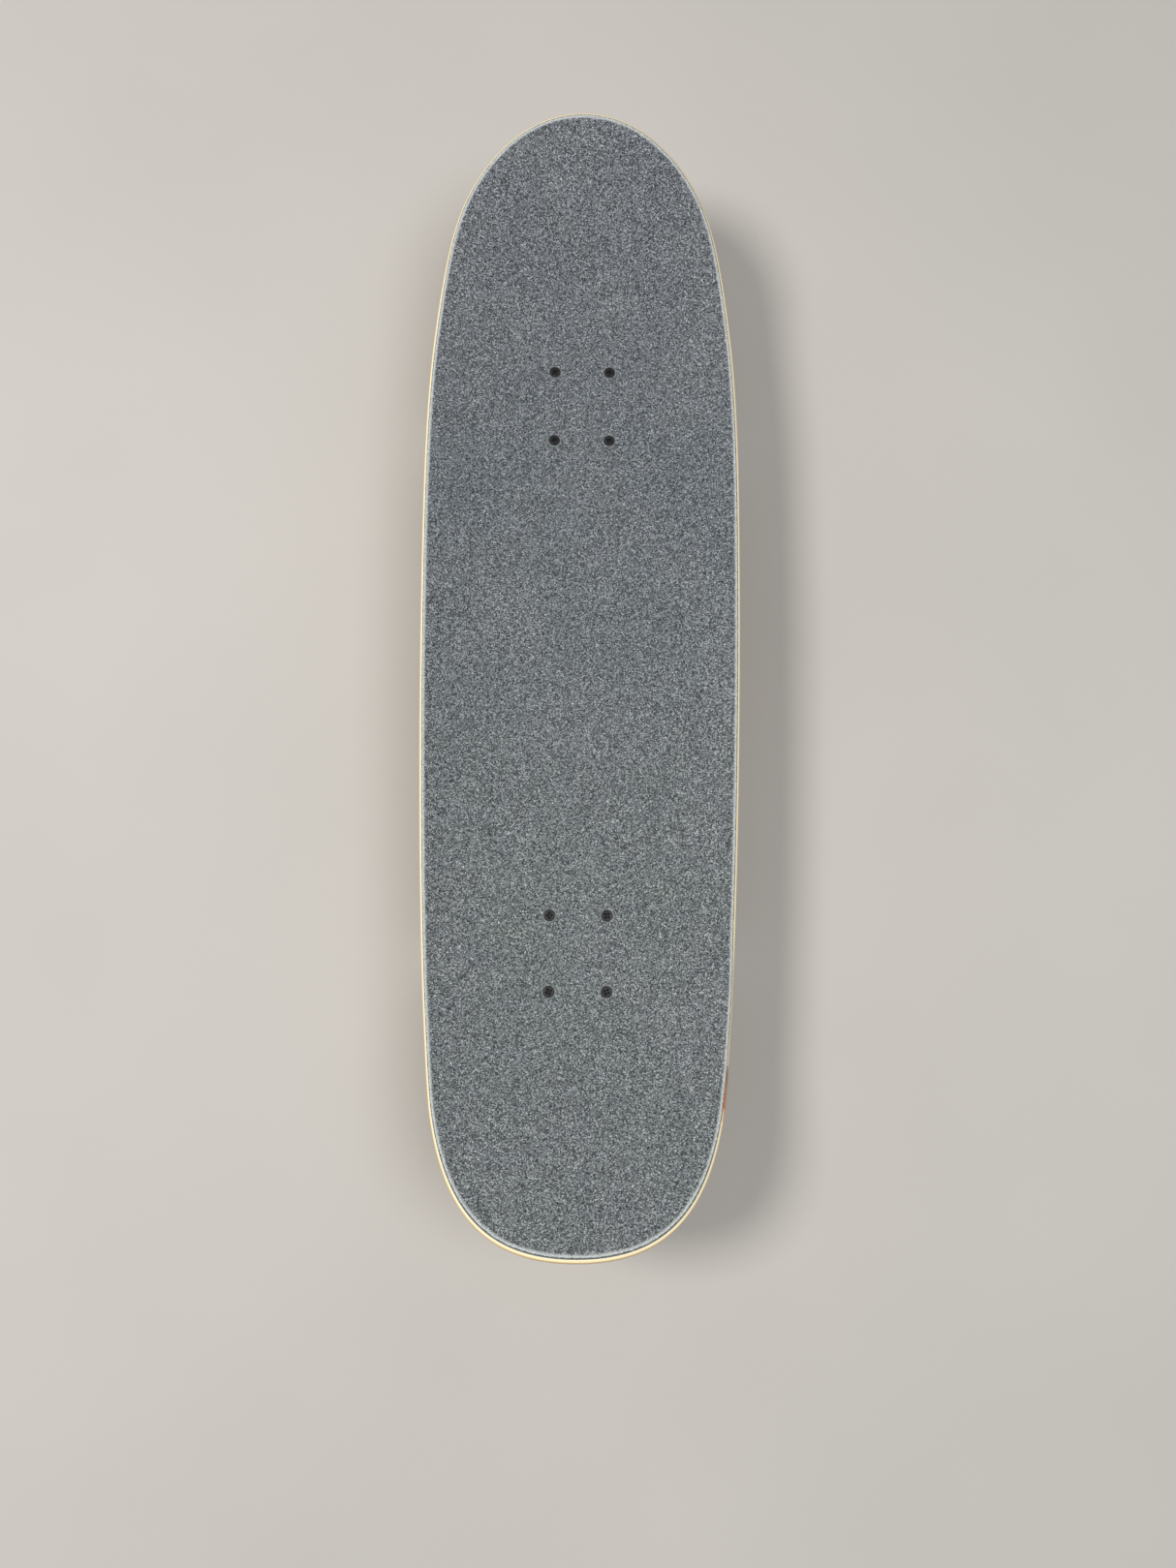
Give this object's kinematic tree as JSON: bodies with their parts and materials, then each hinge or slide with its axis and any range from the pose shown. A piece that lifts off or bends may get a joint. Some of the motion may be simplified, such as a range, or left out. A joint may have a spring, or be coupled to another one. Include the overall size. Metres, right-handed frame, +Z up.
{
  "type": "skateboard",
  "caption": "Wide skateboard: a maple deck with kicked nose and tail under grey abrasive grip tape, on two sprung steering trucks with rolling urethane wheels.",
  "frame": {"origin": "on the floor, under the middle of the deck's length and width", "axes": "+Y to the nose along the length, +X to the right, +Z up"},
  "size_m": [0.2348, 0.8182, 0.1428],
  "materials": {
    "maple": "clear-sealed pressed maple plies, satin",
    "grip": "silicon carbide grit on a polyester film, coarse and matt with small sparkles",
    "black_steel": "black oxide steel, semi-gloss",
    "plated_steel": "zinc-plated steel",
    "cast_aluminium": "raw tumbled casting",
    "bearing_steel": "ground bearing steel with metal shields",
    "bushing": "cast urethane, satin",
    "urethane": "cast urethane, off-white, satin with a ground tread"
  },
  "bodies": {
    "board": {"deck": "maple", "grip_tape": "grip", "front_bolt_1": "black_steel", "front_locknut_1": "plated_steel", "front_bolt_2": "black_steel", "front_locknut_2": "plated_steel", "front_bolt_3": "black_steel", "front_locknut_3": "plated_steel", "front_bolt_4": "black_steel", "front_locknut_4": "plated_steel", "front_baseplate": "cast_aluminium", "front_pivot_cup": "bushing", "front_kingpin": "plated_steel", "front_kingpin_nut": "plated_steel", "front_board_washer": "plated_steel", "front_road_washer": "plated_steel", "front_board_bushing": "bushing", "front_road_bushing": "bushing", "rear_bolt_1": "black_steel", "rear_locknut_1": "plated_steel", "rear_bolt_2": "black_steel", "rear_locknut_2": "plated_steel", "rear_bolt_3": "black_steel", "rear_locknut_3": "plated_steel", "rear_bolt_4": "black_steel", "rear_locknut_4": "plated_steel", "rear_baseplate": "cast_aluminium", "rear_pivot_cup": "bushing", "rear_kingpin": "plated_steel", "rear_kingpin_nut": "plated_steel", "rear_board_washer": "plated_steel", "rear_road_washer": "plated_steel", "rear_board_bushing": "bushing", "rear_road_bushing": "bushing"},
    "front_truck": {"front_hanger": "cast_aluminium", "front_axle": "plated_steel", "front_left_spacer": "plated_steel", "front_left_axle_nut": "plated_steel", "front_right_spacer": "plated_steel", "front_right_axle_nut": "plated_steel"},
    "front_left_wheel": {"front_left_wheel": "urethane", "front_left_inner_bearing": "bearing_steel", "front_left_outer_bearing": "bearing_steel"},
    "front_right_wheel": {"front_right_wheel": "urethane", "front_right_inner_bearing": "bearing_steel", "front_right_outer_bearing": "bearing_steel"},
    "rear_truck": {"rear_hanger": "cast_aluminium", "rear_axle": "plated_steel", "rear_left_spacer": "plated_steel", "rear_left_axle_nut": "plated_steel", "rear_right_spacer": "plated_steel", "rear_right_axle_nut": "plated_steel"},
    "rear_left_wheel": {"rear_left_wheel": "urethane", "rear_left_inner_bearing": "bearing_steel", "rear_left_outer_bearing": "bearing_steel"},
    "rear_right_wheel": {"rear_right_wheel": "urethane", "rear_right_inner_bearing": "bearing_steel", "rear_right_outer_bearing": "bearing_steel"}
  },
  "joints": [
    {"name": "front_truck_steer", "type": "hinge", "parent": "board", "child": "front_truck", "pos_m": [0, 0.18373, 0.048], "axis": [0, 0.8829, 0.4695], "range_deg": [-15, 15], "stiffness_Nm_per_rad": 45, "deforming": ["front_board_bushing", "front_road_bushing"]},
    {"name": "rear_truck_steer", "type": "hinge", "parent": "board", "child": "rear_truck", "pos_m": [0, -0.18785, 0.048], "axis": [0, -0.8829, 0.4695], "range_deg": [-15, 15], "stiffness_Nm_per_rad": 45, "deforming": ["rear_board_bushing", "rear_road_bushing"]},
    {"name": "front_left_wheel_spin", "type": "hinge", "parent": "front_truck", "child": "front_left_wheel", "pos_m": [-0.0955, 0.20873, 0.028], "axis": [1, 0, 0], "continuous": true},
    {"name": "front_right_wheel_spin", "type": "hinge", "parent": "front_truck", "child": "front_right_wheel", "pos_m": [0.0955, 0.20873, 0.028], "axis": [1, 0, 0], "continuous": true},
    {"name": "rear_left_wheel_spin", "type": "hinge", "parent": "rear_truck", "child": "rear_left_wheel", "pos_m": [-0.0955, -0.21285, 0.028], "axis": [1, 0, 0], "continuous": true},
    {"name": "rear_right_wheel_spin", "type": "hinge", "parent": "rear_truck", "child": "rear_right_wheel", "pos_m": [0.0955, -0.21285, 0.028], "axis": [1, 0, 0], "continuous": true}
  ]
}
